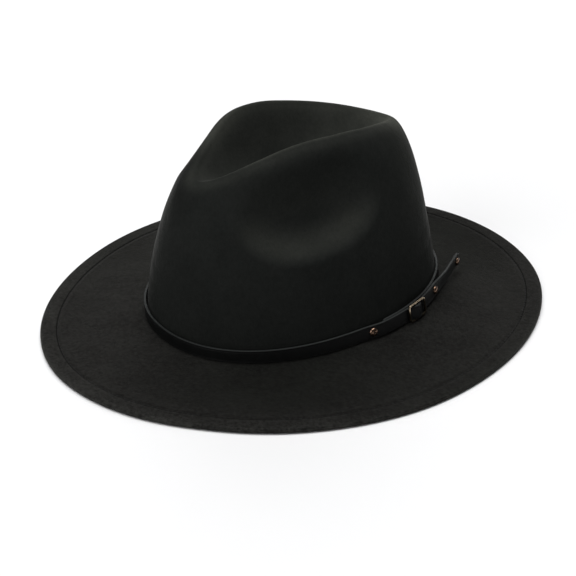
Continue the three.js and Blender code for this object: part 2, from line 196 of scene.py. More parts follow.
def make_piece(name, points, squares, triangles):
    """A mesh object from points in millimetres and faces, all of them turned outwards."""
    squares, triangles, volume = turned_out(points, squares, triangles)
    mesh = bpy.data.meshes.new(name)
    mesh.from_pydata((points * MM).tolist(), [], squares.tolist() + triangles.tolist())
    mesh.shade_smooth()
    mesh.update()
    count = 2 * len(squares) + len(triangles)
    print("%s: %d triangles, %.2f cubic centimetres" % (name, count, volume / 1000))
    return add_object(name, mesh)


def closed_rings(rings, loop=False, tips=None):
    """Points and faces of rings joined one to the next; tips are the two points that close the ends of
    an open stack, and without them each end closes on its ring's middle."""
    grid = (*rings.shape[:2], loop)
    points = rings.reshape(-1, 3)
    if not loop:
        points = np.concatenate([points, rings[[0, -1]].mean(1) if tips is None else tips])
    squares, triangles, _ = turned_out(points, ring_squares(*grid), end_fans(*grid))
    return points, squares, triangles


def store_share(piece, name, values):
    """Keeps one number for each point of a piece, for its material to read."""
    attribute = piece.data.attributes.new(name, "FLOAT", "POINT")
    attribute.data.foreach_set("value", np.asarray(values, np.float32).ravel())


# %% [markdown]
# The crown
#
# A felt crown is steamed over a block, then creased by hand: a teardrop is pressed into the top, and a
# dent is pinched into each side near the front. The wall is a bundle of curves. Each starts at the foot,
# leans in, and arrives level at a ridge that runs round the top. Inside the ridge the felt falls into the
# crease. Wall and top are functions of an angle and a share up the wall, which keeps both smooth.

# %% The ridge, the side dents and the wall
RIDGE_HALF_WIDTH = 34.1
RIDGE_HALF_LENGTH = 74.5
RIDGE_POWER = 1.12
RIDGE_SHIFT = 1.0
RIDGE_HEIGHTS = np.array([110.2, 126.7, 136.9, 133.6, 128.5, 120.8])
HAND_SET = {
    1: ([-1.0, -0.75, -0.45, -0.2, -0.05, 0.2, 0.45, 0.7, 1.0],
        [0.0, 0.1, 0.1, -1.9, -1.6, 0.9, 0.2, 0.0, 0.0]),
    -1: ([-1.0, -0.8, -0.62, -0.42, -0.24, -0.1, 0.2, 0.8, 1.0],
         [0.0, -0.6, -0.8, 3.8, 0.2, -0.2, 0.3, 0.2, 0.0]),
}
MEAN_WIDTH = 25
WALL_GAP = 0.3
WALL_LEAN = 0.14
LESS_LEAN_IN_FRONT = 0.13
LEAN_RISE = 0.3
SIDE_SHOULDER = 0.4
BACK_SHOULDER = 0.525
FRONT_SHOULDER = 0.52
CREASE_FLOOR = 103
CREASE_TILT = 0.08
CREASE_LEVEL_FROM = 0.85
CREASE_POWER = 0.78
DENT_DEPTH = 16.4
DENT_MIDDLE = (-21.0, 95.5)
DENT_TILT = math.radians(7.5)
DENT_REACH = {"front": 50.0, "back": 52.0, "down": 26.0, "up": 90.0}
DENT_RUN_OUT = 42.0
DENT_SQUARENESS = 2.4
DENT_FLATNESS = 3.5
DENT_EDGE = 1.7
DENT_FADE_START = 0.69
DENT_FADE_HALF_WIDTH = 25.0


def ridge_height(along):
    """A smooth curve through six heights, evenly spaced from the front end of the ridge to the back end:
    in each span it is the cubic whose slope at a station is half the difference of its neighbours."""
    first = 2 * RIDGE_HEIGHTS[0] - RIDGE_HEIGHTS[1]
    final = 2 * RIDGE_HEIGHTS[-1] - RIDGE_HEIGHTS[-2]
    stations = np.concatenate([[first], RIDGE_HEIGHTS, [final]])
    place = np.clip((along + 1) / 2 * 5, 0, 5 - 1e-6)
    span = np.floor(place).astype(int)
    f = place - span
    before, low, high, after = (stations[span + i] for i in range(4))
    cubic = 3 * (low - high) + after - before
    square = 2 * before - 5 * low + 4 * high - after
    return low + 0.5 * f * (high - before + f * (square + f * cubic))


def dent_share(y, z):
    """How deep the dent is, from 0 to 1: one less a power of the distance from the dent's middle, measured
    in a squared-off oval that is tilted down towards the front, fading out towards the ridge."""
    back = y - DENT_MIDDLE[0]
    rise = z - DENT_MIDDLE[1]
    along = back * math.cos(DENT_TILT) + rise * math.sin(DENT_TILT)
    up = rise * math.cos(DENT_TILT) - back * math.sin(DENT_TILT)
    u = np.abs(along / np.where(along < 0, DENT_REACH["front"], DENT_REACH["back"]))
    v = np.abs(up / np.where(up < 0, DENT_REACH["down"], DENT_REACH["up"]))
    radius = (u**DENT_SQUARENESS + v**DENT_SQUARENESS) ** (1 / DENT_SQUARENESS)
    pressed = (1 - np.clip(radius, 0, 1) ** DENT_FLATNESS) ** DENT_EDGE
    return (1 - smooth_step(up / DENT_RUN_OUT)) * pressed


def hand_set(angle):
    """What the maker's hand left on the near and the far side: small heights at stations along the ridge,
    joined by straight lines rounded with a running mean, fading to nothing at the ridge's two ends."""
    fine = np.linspace(-1, 1, 201)
    mean = np.ones(MEAN_WIDTH) / MEAN_WIDTH
    height = 0
    for side, (stations, heights) in HAND_SET.items():
        line = np.interp(fine, stations, heights)
        line = np.convolve(np.pad(line, MEAN_WIDTH // 2, "edge"), mean, "valid")
        height = height + np.interp(np.sin(angle), fine, line) * smooth_step(side * np.cos(angle) / 0.3)
    return height


def crown_ridge(angle):
    """The ridge seen from above: half width times a power of the cosine, narrower towards the ends and the
    back, and half length times the sine; its height follows the six stations."""
    sine = np.sin(angle)
    narrower = 1 - 0.15 * sine - 0.25 * sine**2
    x = RIDGE_HALF_WIDTH * signed_power(np.cos(angle), RIDGE_POWER) * narrower
    height = ridge_height(sine) + hand_set(angle)
    return np.stack([x, RIDGE_SHIFT + RIDGE_HALF_LENGTH * sine, height], -1)


def crown_wall(angle, share, sink=0.0):
    """A cubic curve with four handles: the foot, a point that leans in a little and less so in front, a
    point level with the ridge some way outside it, and the ridge. The side dent is then pressed in."""
    sine = np.sin(angle)
    ridge = crown_ridge(angle)
    foot = with_height(crown_foot(angle), joint_height(angle) + WALL_GAP - sink)
    out = (foot - ridge) * [1, 1, 0]
    end_shoulder = np.where(sine > 0, BACK_SHOULDER, FRONT_SHOULDER)
    shoulder = SIDE_SHOULDER + (end_shoulder - SIDE_SHOULDER) * sine**2
    lean_share = WALL_LEAN - LESS_LEAN_IN_FRONT * smooth_step(-1.2 * sine)
    lean = foot - lean_share[..., None] * out
    lean[..., 2] += LEAN_RISE * (ridge[..., 2] - foot[..., 2])
    level = ridge + shoulder[..., None] * out
    t = share[None, :, None]
    handles = [handle[:, None] for handle in (foot, lean, level, ridge)]
    weights = [(1 - t) ** 3, 3 * (1 - t) ** 2 * t, 3 * (1 - t) * t**2, t**3]
    points = sum(weight * handle for weight, handle in zip(weights, handles))
    x, y, z = points[..., 0], points[..., 1], points[..., 2]
    fade = 1 - smooth_step((share[None, :] - DENT_FADE_START) / (1 - DENT_FADE_START))
    depth = DENT_DEPTH * dent_share(y, z) * fade * np.minimum(np.abs(x) / DENT_FADE_HALF_WIDTH, 1)
    points[..., 0] = x - np.sign(x) * depth
    return points


def crown_top(angle, share):
    """From the ridge straight in to the middle of the crease, falling by the squared sine of a quarter
    turn times a power of the share, and then level over the last part."""
    ridge = crown_ridge(angle)[:, None]
    m = share[None, :]
    x = ridge[..., 0] * (1 - m)
    y = ridge[..., 1] * (1 - m) + RIDGE_SHIFT * m
    fall = np.minimum(m / CREASE_LEVEL_FROM, 1) ** CREASE_POWER
    floor = CREASE_FLOOR + CREASE_TILT * y
    z = ridge[..., 2] + (floor - ridge[..., 2]) * np.sin(fall * math.pi / 2) ** 2
    return np.stack([x, y, z], -1)


# %% The crown as one closed shell of felt
def grid_normals(points):
    """The cross of the way round the crown and the way up it, both taken from neighbours on the grid."""
    around = np.roll(points, -1, 0) - np.roll(points, 1, 0)
    normals = np.cross(around, np.gradient(points, axis=1))
    return normals / np.maximum(np.linalg.norm(normals, axis=-1, keepdims=True), 1e-9)


CROWN_SIDES = 360
WALL_ROWS = 80
TOP_ROWS = 34
HEM_STEPS = 5
HEM_DEPTH = 0.4
CREST_HEIGHT = 0.45
CREST_HALF_WIDTH = 1.5
CROWN_WAVES = [(0.13, 62), (0.04, 17)]
crown_angles = np.arange(CROWN_SIDES) * TURN / CROWN_SIDES
outer = np.concatenate([
    crown_wall(crown_angles, np.linspace(0, 1, WALL_ROWS), sink=HEM_DEPTH),
    crown_top(crown_angles, np.linspace(0, 0.985, TOP_ROWS)[1:]),
], axis=1)
normals = grid_normals(outer)
normals[:, 0] = unit(normals[:, 0] * [1, 1, 0])
steps_up = np.linalg.norm(np.diff(outer, axis=1), axis=-1)
up_the_felt = np.pad(np.cumsum(steps_up, axis=1), ((0, 0), (1, 0)))
from_ridge = up_the_felt - up_the_felt[:, WALL_ROWS - 1:WALL_ROWS]
waves = soft_waves(outer, CROWN_WAVES) + CREST_HEIGHT * bell(from_ridge, CREST_HALF_WIDTH)
outer += normals * waves[..., None]
inner = outer - FELT * normals
hem_turns = np.linspace(0, math.pi, HEM_STEPS)[1:-1]
hem = [(outer[:, 0] + inner[:, 0]) / 2 + normals[:, 0] * (FELT / 2 * math.cos(turn))
       - np.array([0, 0, HEM_DEPTH * math.sin(turn)]) for turn in hem_turns[::-1]]
shell = np.concatenate([inner[:, ::-1], np.stack(hem, 1), outer], axis=1)
tips = [inner[:, -1].mean(0), outer[:, -1].mean(0)]
crown = make_piece("felt_crown", *closed_rings(shell.transpose(1, 0, 2), tips=tips))
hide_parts("crown")
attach(crown, "root")

# %% [markdown]
# Painted light and shade on the crown
#
# Paler felt is painted where light falls on the ridge, the rim of the crease and the lips of the dents,
# so they show as soft light lines. Painted shade keeps the wall dark above the strap, at the outline near
# the foot and on the front shoulder. Two shares are kept with each point for these: bell curves down the
# felt, each strong on some part of the way round. The sheen is also weaker towards the strap, which is
# painted shade too. Sheen is one number for a whole material, so the faces are dealt out by height to
# five belts of felt.

# %% The crown's pale and dark places
FINE_LINE = 2.2
RIM_WIDTH = 6
CORNER_WIDTH = 14
LOWER_LIP = 1.04
UPPER_LIP = 0.09
PALE_CREASE = 0.19
PALER_BEHIND = 0.12
PALE_FRONT_LIP = [(0.18, 255, 16)]
PALE_UPPER_WALL = [(0.09, 60, 24)]
DARK_OVER_STRAP = 0.3
DARK_FOOT = [(0.55, 240, 16), (0.45, 58, 16)]
DARK_SHOULDER = [(0.9, 243, 24)]
STRAP_TOP = 9.5
SHOULDER_DROP = 30
BELTS_TO = [11.2, 20.0, 31.0, 43.0]


def across_ridge(places):
    """The sum of bell curves down the felt. Each place has its strength round the hat, how far below the
    ridge its middle lies, and its half width."""
    return sum(strength * bell(from_ridge + below, half_width) for strength, below, half_width in places)


crown_turns = crown_angles[:, None]
sine = np.sin(crown_turns)
near_side = smooth_step(0.5 + np.cos(crown_turns) / 0.6)
front_side = smooth_step((-sine - 0.1) / 0.4) * (1 - near_side)
front_end = smooth_step((-sine - 0.6) / 0.3)
back_end = smooth_step((sine - 0.45) / 0.5)
# Painted highlights: paler felt along the ridge, on the crease's rim, corners and far wall, on the dents'
# lips and on the upper wall.
line_strength = (0.5 + 0.5 * back_end - 0.3 * front_end) * (1 - 0.8 * front_side)
ridge_line = line_strength * bell(from_ridge, FINE_LINE)
soft_rim = across_ridge([
    (0.17 * near_side, 4.5, 4.5),
    ((0.22 - 0.12 * front_end) * (1 - near_side), 0, RIM_WIDTH),
])
corners = across_ridge([
    (0.5 * smooth_step((sine - 0.75) / 0.22), 0, CORNER_WIDTH),
    (0.2 * smooth_step((sine - 0.5) / 0.4) * near_side, 5, 7),
    (0.45 * front_side * (1 - front_end), 4, 8),
    (bells_round(crown_turns, PALE_FRONT_LIP), 3.5, 5),
])
y, z = outer[..., 1], outer[..., 2]
crease = smooth_step(from_ridge / 5) * (1 - smooth_step((from_ridge - 25) / 20))
crease = crease * (PALE_CREASE + PALER_BEHIND * smooth_step(y / 45))
dented = dent_share(y, z) * (from_ridge < 0)
lower_lip = dented * (1 - dented) * smooth_step((DENT_MIDDLE[1] + 4 - z) / 16)
upper_lip = dented * smooth_step((z - DENT_MIDDLE[1] + 8) / 12)
above_joint = z - joint_height(crown_turns)
upper_wall = bells_round(crown_turns, PALE_UPPER_WALL) * smooth_step((above_joint - 45) / 25)
painted_highlight = np.maximum(ridge_line, soft_rim + crease) + corners + upper_wall
painted_highlight += LOWER_LIP * lower_lip + UPPER_LIP * upper_lip
# Painted shade: darker felt just above the strap, at the outline near the foot and on the front shoulder.
over_strap = DARK_OVER_STRAP * bell(above_joint - STRAP_TOP, 1.6)
dark_foot = bells_round(crown_turns, DARK_FOOT) * bell(above_joint - 18, 17)
shaded = (over_strap + dark_foot) * (from_ridge < -SHOULDER_DROP)
shaded += bells_round(crown_turns, DARK_SHOULDER) * bell(from_ridge + 17, 11)
unseen = np.zeros((CROWN_SIDES, shell.shape[1] - outer.shape[1]))
for share_name, values in (("painted_highlight", painted_highlight), ("shaded", shaded)):
    store_share(crown, share_name, np.append(np.concatenate([unseen, values], axis=1).T, [0, 0]))
# The lower belts get felts with less sheen: painted shade towards the foot.
face_heights = (above_joint[:, 1:] + above_joint[:, :-1]) / 2
belts = np.zeros((shell.shape[1] - 1, CROWN_SIDES), np.int32)
belts[1 - outer.shape[1]:] = (face_heights[..., None] < BELTS_TO).sum(-1).T
belts = np.append(belts, np.zeros(2 * CROWN_SIDES, np.int32))
crown.data.polygons.foreach_set("material_index", belts)
print("faces in each belt of felt, from the top:", np.bincount(belts).tolist())

# %% [markdown]
# The brim
#
# The brim is two plies of felt, stitched together near the edge. It lies flat there and rises to the
# crown on a gentle curve. Its section is the same all round, only wider or narrower, so it is a profile
# carried round the oval. The rounded edge has a fine parting line between the plies, and the stitching
# pulls a soft channel with the felt swelling a little on either side of it. Shares say where shade is
# painted on the brim, where the edge gets a painted highlight, and where the band is paler. The channel's
# faces take a darker felt with less sheen, which is painted shade.

# %% The brim's section carried round the hat
BRIM_THICKNESS = 3.0
BRIM_SIDES = 480
FLAT_SHARE = 0.2
RISE_POWER = 1.8
EDGE_WANDER = [(-1.5, 18, 22), (1.3, 66, 16), (1.2, 112, 18), (1.2, 200, 16), (-1.0, 313, 10)]
EDGE_ROWS = 19
PARTING_DEPTH = 0.2
TOP_FROM = 2.2
FINE_TO = 25.0
BRIM_WAVES = [(0.14, 74), (0.05, 21)]
STITCH_INSET = 11.6
CHANNEL_DEPTH = 0.34
SWELL_HEIGHT = 0.04
SWELL_AWAY = 2.6
SHALLOW_CHANNEL = [(0.65, 328, 45)]
PLAIN_BAND = [(1, 15, 38), (1, 75, 38)]
SHADE_AT_EDGE = [(0.5, 15, 32), (0.5, 202, 24)]
SHADE_FURTHER_IN = [(1.0, 328, 38), (1.0, 108, 44), (0.1, 15, 32), (0.6, 202, 24)]


def brim_oval(angle):
    """The oval that the brim was cut to."""
    return oval_point(angle, BRIM_OVAL)


def brim_edge(angle):
    """The oval, moved out by a few low bell curves, since shears never follow a line exactly."""
    return brim_oval(angle) + outward_of(brim_oval, angle) * bells_round(angle, EDGE_WANDER)[..., None]


def brim_frame(angle):
    """The edge, the way in to the crown and how wide the brim is on that way."""
    edge = brim_edge(angle)
    inner_edge = crown_foot(angle) - FELT * outward_of(crown_foot, angle)
    width = np.linalg.norm(inner_edge - edge, axis=-1, keepdims=True)
    return edge, (inner_edge - edge) / width, width


def brim_rise(inset, width, angle):
    """Nought over the flat part, then the joint's height above the flat, times a power of the way in."""
    share = np.clip((inset / width - FLAT_SHARE) / (1 - FLAT_SHARE), 0, None)
    return (joint_height(angle) - BRIM_THICKNESS)[:, None] * share**RISE_POWER


def stitch_channel(inset):
    """A narrow dip at the stitch line, steeper on the side of the edge, with a low swell on each side, all
    bell curves."""
    away = inset - STITCH_INSET
    swell = bell(away - SWELL_AWAY, 1.5) + bell(away + SWELL_AWAY, 1.5)
    return SWELL_HEIGHT * swell - CHANNEL_DEPTH * bell(away, np.where(away < 0, 0.8, 1.3))


brim_angles = np.arange(BRIM_SIDES) * TURN / BRIM_SIDES
edge, inwards, width = brim_frame(brim_angles)
half = BRIM_THICKNESS / 2
edge_turns = np.radians(np.linspace(-90, 90, EDGE_ROWS))
parting = 1 - PARTING_DEPTH * bell(edge_turns, 0.22)
edge_insets = np.broadcast_to(half - half * np.cos(edge_turns) * parting, (BRIM_SIDES, EDGE_ROWS))
edge_heights = np.broadcast_to(half + half * np.sin(edge_turns), (BRIM_SIDES, EDGE_ROWS))
near_edge = [*np.linspace(TOP_FROM, 7.2, 4), *np.linspace(8.0, 15.6, 24), 17.0, 20.0, FINE_TO]
near_edge = np.broadcast_to(near_edge, (BRIM_SIDES, len(near_edge)))
top_insets = np.concatenate([near_edge, FINE_TO + (width - FINE_TO) * np.linspace(0, 1, 15)[1:]], axis=1)
channel = stitch_channel(top_insets) * (1 - bells_round(brim_angles, SHALLOW_CHANNEL)[:, None])
top_heights = BRIM_THICKNESS + brim_rise(top_insets, width, brim_angles) + channel
low_insets = (TOP_FROM + (width - TOP_FROM) * np.linspace(0, 1, 17))[:, ::-1]
low_heights = brim_rise(low_insets, width, brim_angles)
insets = np.concatenate([edge_insets, top_insets, low_insets], axis=1)
heights = np.concatenate([edge_heights, top_heights, low_heights], axis=1)
plan = edge[:, None] + inwards[:, None] * insets[..., None]
section = with_height(plan, heights)
on_top = np.zeros(section.shape[1])
on_top[EDGE_ROWS:EDGE_ROWS + top_insets.shape[1] - 1] = 1
section[..., 2] += soft_waves(section, BRIM_WAVES) * on_top * smooth_step(insets / 6)
brim = make_piece("felt_brim", *closed_rings(section, loop=True))
plain = 0.9 * np.minimum(bells_round(brim_angles, PLAIN_BAND), 1)[:, None]
band = smooth_step((STITCH_INSET - insets) / 0.9 + 0.5) * (heights > 0.8) * (1 - plain)
# Painted shade on parts of the brim, in bell curves round it, weaker at the edge.
at_edge, further_in = (bells_round(brim_angles, bells)[:, None]
                       for bells in (SHADE_AT_EDGE, SHADE_FURTHER_IN))
store_share(brim, "band", band)
# A painted highlight along the rounded edge.
store_share(brim, "painted_edge_light", np.exp(-insets / 1.7))
store_share(brim, "painted_brim_shade", at_edge + (further_in - at_edge) * smooth_step((insets - 2) / 30))
middles = (insets + np.roll(insets, -1, 1)) / 2
# The channel's faces take the darker felt: painted shade in the channel.
in_channel = (np.abs(middles - STITCH_INSET + 0.4) < 0.6) & (np.roll(heights, -1, 1) > 2.0)
brim.data.polygons.foreach_set("material_index", in_channel.astype(np.int32).ravel())
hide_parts("brim")
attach(brim, "root")
print("brim width: %.0f mm at the side, %.0f at the front" % (width.min(), width.max()))

# %% [markdown]
# The stitching
#
# Black on black, the stitches are only a dark line from a step away. Close up, though, a row of real
# thread catches light that a painted line can't. Each stitch is a small capsule: a few rings whose radius
# follows half a sine. One grid holds all three hundred, because they differ only in where they lie.

# %% A row of stitches in the channel
STITCH_PITCH = 3.3
STITCH_LENGTH = 2.5
THREAD_RADIUS = 0.3
THREAD_SINK = 0.52
THREAD_BOW = 0.24
RINGS = 5
SIDES = 6
line = np.linspace(0, TURN, 1441)
line_edge, line_inwards, _ = brim_frame(line)
line_points = line_edge + STITCH_INSET * line_inwards
distance = np.append(0, np.cumsum(np.linalg.norm(np.diff(line_points, axis=0), axis=1)))
count = int(round(distance[-1] / STITCH_PITCH))
steps = np.linspace(0.06, 0.94, RINGS)
along = (np.arange(count) * distance[-1] / count)[:, None] + steps * STITCH_LENGTH
centre, ahead = (np.stack([np.interp(away, distance, line_points[:, i]) for i in range(2)], -1)
                 for away in (along, along + 0.4))
way = unit(ahead - centre)
beside = np.stack([way[..., 1], -way[..., 0]], -1)[:, :, None]
bow = np.sin(steps * math.pi)[:, None]
radius = THREAD_RADIUS * (0.35 + 0.65 * bow**0.5)
sides = np.arange(SIDES) * TURN / SIDES
plan = centre[:, :, None] + beside * (radius * np.cos(sides))[..., None]
height = BRIM_THICKNESS - THREAD_SINK + THREAD_BOW * bow + radius * np.sin(sides)
stitches = with_height(plan, height)
points = np.concatenate([stitches.reshape(count, -1, 3), stitches[:, [0, -1]].mean(2)], axis=1)
first = np.arange(count)[:, None, None] * (RINGS * SIDES + 2)
squares = (ring_squares(RINGS, SIDES, False) + first).reshape(-1, 4)
triangles = (end_fans(RINGS, SIDES, False) + first).reshape(-1, 3)
stitching = make_piece("brim_stitching", points.reshape(-1, 3), squares, triangles)
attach(stitching, "root")
print("stitches:", count)

# %% [markdown]
# The leather strap
#
# The belt is one strap. It starts shortly before the buckle, goes once round the crown, climbs over its
# own start, rises through the buckle, and then runs straight on as a free tail. So it is a profile carried
# along a path, leaning as the wall leans. The profile is a flat rectangle with rounded edges and a fine
# crease pressed along each, as a belt maker finishes it. Two shares kept with each point tell the
# material where the cut edges are and where light is painted on the tail's face.

# %% The strap's profile
STRAP_HEIGHT = 8.6
STRAP_THICKNESS = 1.6
FACE_CORNER = 0.28
BACK_CORNER = 0.2
CREASE_INSET = 1.15
CREASE_DEPTH = 0.13
CREASE_HALF_WIDTH = 0.22
CUT_EDGE = 0.12


def rounded_corner(centre, radius, start):
    """A quarter circle about a centre, from a starting direction, in six steps."""
    return centre + circle(radius, np.radians(start + np.linspace(0, 90, 6)))


top = STRAP_HEIGHT
deep = STRAP_THICKNESS
face_heights = np.linspace(top - FACE_CORNER, FACE_CORNER, 46)[1:-1]
from_edge = np.minimum(face_heights, top - face_heights)
face_depths = deep - CREASE_DEPTH * bell(from_edge - CREASE_INSET, CREASE_HALF_WIDTH)
strap_profile = np.concatenate([
    rounded_corner((top - BACK_CORNER, BACK_CORNER), BACK_CORNER, -90),
    rounded_corner((top - FACE_CORNER, deep - FACE_CORNER), FACE_CORNER, 0),
    np.stack([face_heights, face_depths], -1),
    rounded_corner((FACE_CORNER, deep - FACE_CORNER), FACE_CORNER, 90),
    rounded_corner((BACK_CORNER, BACK_CORNER), BACK_CORNER, 180),
])
cut_share = smooth_step((np.abs(strap_profile[:, 0] - top / 2) - (top / 2 - CUT_EDGE)) / 0.1)
print("points in the strap's profile:", len(strap_profile))

# %% The strap's path and the finished strap
STRAP_START = math.radians(9.1)
STRAP_LEAVES = math.radians(40) + TURN
OVERLAP_RAMP = math.radians(9)
BUCKLE_ANGLE = math.radians(25.2) + TURN
LAYER_GAP = 0.3
BULGE_HEIGHT = 3.1
BULGE_HALF_LENGTH = 4.2
ABOVE_JOINT = 0.5
OFF_THE_WALL = 0.15
FRONT_GAP = [(0.55, 248, 22)]
SHADED_EDGE = [(0.6, 32, 7)]
TAIL_LENGTH = 52.0
TAIL_CLIMB = 0.005
TAIL_POINT = 5.0
TIP_SHARE = 0.45
TIP_RISE = 1.8
TIP_CURL = 22.0
END_DEPTHS = [0.62, 0.9, 0.9, 0.62]


def strap_offset(angle):
    """How far the strap stands off the crown: a hair, plus a thickness and a hair where it lies on its
    own start, plus a bell curve where it bulges over the buckle's bar."""
    overlap = smooth_step((angle - (STRAP_START + TURN - OVERLAP_RAMP)) / OVERLAP_RAMP)
    bulge = bell((angle - BUCKLE_ANGLE) * CROWN_OVAL["half_width"], BULGE_HALF_LENGTH)
    return LAYER_GAP + overlap * (STRAP_THICKNESS + LAYER_GAP) + BULGE_HEIGHT * bulge


def strap_plan(angle):
    """The crown's foot, moved out by the strap's offset."""
    return crown_foot(angle) + outward_of(crown_foot, angle) * strap_offset(angle)[..., None]


def wall_lean(angle):
    """How far out from its foot the crown's wall stands at the height of the strap's top: less than
    nought, since the wall leans in."""
    wall = crown_wall(angle, np.linspace(0, 0.4, 50))
    rise = wall[..., 2] - wall[:, :1, 2]
    out = ((wall[..., :2] - wall[:, :1, :2]) * outward_of(crown_foot, angle)[:, None]).sum(-1)
    return np.array([np.interp(STRAP_HEIGHT + 0.2, up, way) for up, way in zip(rise, out)])


def strap_frame(angle):
    """Where the strap's lower inner edge is, which way is out, its height and how much it leans."""
    angle = np.atleast_1d(angle)
    lean = wall_lean(angle) + OFF_THE_WALL + bells_round(angle, FRONT_GAP)
    return strap_plan(angle), outward_of(strap_plan, angle), joint_height(angle) + ABOVE_JOINT, lean


def tail_frame(away):
    """The same for the tail: straight on from where the strap leaves, losing its lean on the way and
    rising towards the tip."""
    away = np.atleast_1d(away)
    place, outward, base, lean = strap_frame(STRAP_LEAVES)
    along = np.stack([-outward[..., 1], outward[..., 0]], -1)
    lean = lean * (1 - smooth_step(away / TAIL_LENGTH * 2))
    rise = TAIL_CLIMB * away + TIP_RISE * smooth_step((away - TIP_CURL) / (TAIL_LENGTH - TIP_CURL))
    return place + along * away[:, None], np.repeat(outward, len(away), 0), base + rise, lean


def strap_points(path, height, depth):
    """From the lower inner edge: up by the height, and out by the depth less the lean at that height."""
    place, outward, base, lean = path
    out = depth + lean[:, None] * height / STRAP_HEIGHT
    plan = place[:, None] + outward[:, None] * out[..., None]
    return with_height(plan, base[:, None] + height)


def strap_seat(path, height, depth):
    """A place on the strap, and three ways from it: along the strap, up its face and straight out."""
    place = strap_points(path, np.array([[height]]), np.array([[depth]]))[0, 0]
    outward, lean = path[1][0], path[3][0]
    along = np.array([-outward[1], outward[0], 0.0])
    up = unit(np.array([*(outward * lean), STRAP_HEIGHT]))
    return place, np.stack([along, up, np.cross(along, up)])


fine_from = STRAP_START + TURN - OVERLAP_RAMP
turns = np.concatenate([
    np.arange(STRAP_START, fine_from, math.radians(1)),
    np.arange(fine_from, STRAP_LEAVES - math.radians(0.2), math.radians(0.35)),
])
tail = np.concatenate([np.linspace(0, TAIL_LENGTH - TAIL_POINT, 40),
                       TAIL_LENGTH - TAIL_POINT * (1 - np.linspace(0, 1, 22)[1:])])
path = [np.concatenate(pair) for pair in zip(strap_frame(turns), tail_frame(tail))]
to_point = np.clip((tail - (TAIL_LENGTH - TAIL_POINT)) / TAIL_POINT, 0, 1)
narrow = np.concatenate([np.ones(len(turns)), np.sqrt(1 - (1 - TIP_SHARE**2) * to_point**2)])
softened = np.ones(len(narrow))
softened[[0, 1, -2, -1]] = END_DEPTHS
middle = np.array([STRAP_HEIGHT, STRAP_THICKNESS]) / 2
from_middle = strap_profile - middle
heights = middle[0] + from_middle[:, 0] * (narrow * (1 - (1 - softened) * 0.14))[:, None]
depths = middle[1] + from_middle[:, 1] * softened[:, None]
strap = make_piece("leather_strap", *closed_rings(strap_points(path, heights, depths)))
ends = np.ones((len(narrow), 1))
ends[2:-2] = 0
# Just past the buckle the pale edge is kept dull: painted shade.
edge_in_shade = np.append(bells_round(turns, SHADED_EDGE), np.zeros(len(tail)))[:, None]
cut = np.maximum(cut_share, ends) * (1 - edge_in_shade)
# The tail's face is made greyer: painted light.
on_tail = np.append(np.zeros(len(turns)), smooth_step((tail + 4) / 12))[:, None]
store_share(strap, "cut_edge", np.append(cut, [1, 1]))
store_share(strap, "tail", np.append(np.broadcast_to(on_tail, heights.shape), [0, 1]))
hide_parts("hat_belt")
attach(strap, "root")
run = np.linalg.norm(np.diff(path[0], axis=0), axis=1).sum()
print("length of the strap: %.0f mm, its free tail %.0f mm" % (run, TAIL_LENGTH))

# %% [markdown]
# The wire buckle
#
# The buckle is a bent wire, a rounded rectangle with a straight bar soldered across its middle. The strap
# passes under the frame and bulges over the bar. Both parts are circles carried along a line. The frame's
# line is a quarter circle and then a straight run, four times over. Each point keeps a share that says
# how bright its metal is: the outward faces are rubbed bright, and the top and left side more so, which
# is a painted highlight.

# %% The buckle's frame and bar
BUCKLE_LENGTH = 19.0
BUCKLE_HEIGHT = 12.8
WIRE_RADIUS = 0.8
WIRE_SIDES = 18
BAR_RINGS = 24
BAR_RADIUS = 0.7
BAR_DEPTH = 0.6
BEND_RADIUS = 2.0
SOLDER = 0.25
WIRE_HEIGHT = 4.9
POLISH_LOSS = 0.12


def rounded_rectangle(half_length, half_height, bend):
    """Four quarter circles, each about its own corner's centre, with a straight run after each of them."""
    turns = np.radians(np.linspace(0, 90, 13) + np.arange(0, 360, 90)[:, None])
    centres = np.array([(1, 1), (-1, 1), (-1, -1), (1, -1)]) * [half_length - bend, half_height - bend]
    arcs = centres[:, None] + circle(bend, turns)
    leave = arcs[:, -1:]
    runs = leave + (np.roll(arcs, -1, 0)[:, :1] - leave) * (np.arange(1, 8)[:, None] / 8)
    return np.concatenate([arcs, runs], axis=1).reshape(-1, 2)


def wire_rings(line, way, radius):
    """A circle at each point of a flat line: its cosine goes across the line and its sine out of it."""
    turns = np.arange(WIRE_SIDES) * TURN / WIRE_SIDES
    across = np.stack([way[:, 1], -way[:, 0]], -1)[:, None] * (radius * np.cos(turns))[None, :, None]
    return with_height(line[:, None] + across, radius * np.sin(turns))


half_length = BUCKLE_LENGTH / 2 - WIRE_RADIUS
half_height = BUCKLE_HEIGHT / 2 - WIRE_RADIUS
wire_line = rounded_rectangle(half_length, half_height, BEND_RADIUS)
wire_way = unit(np.roll(wire_line, -1, 0) - np.roll(wire_line, 1, 0))
frame_points, frame_squares, _ = closed_rings(wire_rings(wire_line, wire_way, WIRE_RADIUS), loop=True)
bar_line = np.stack([np.zeros(BAR_RINGS), np.linspace(-half_height, half_height, BAR_RINGS)], -1)
solder = 1 + SOLDER * bell(half_height - np.abs(bar_line[:, 1]), 0.9)
bar_rings = wire_rings(bar_line, np.array([[0.0, 1.0]]), BAR_RADIUS)
bar_rings[..., 0] *= solder[:, None]
bar_rings[..., 2] = bar_rings[..., 2] * solder[:, None] - BAR_DEPTH
bar_points, bar_squares, bar_triangles = closed_rings(bar_rings)
flat_points = np.concatenate([frame_points, bar_points])
stands_off = WIRE_HEIGHT - strap_offset(BUCKLE_ANGLE)
place, axes = strap_seat(strap_frame(BUCKLE_ANGLE), STRAP_HEIGHT / 2 + 0.2, stands_off)
start = len(frame_points)
squares = np.concatenate([frame_squares, bar_squares + start])
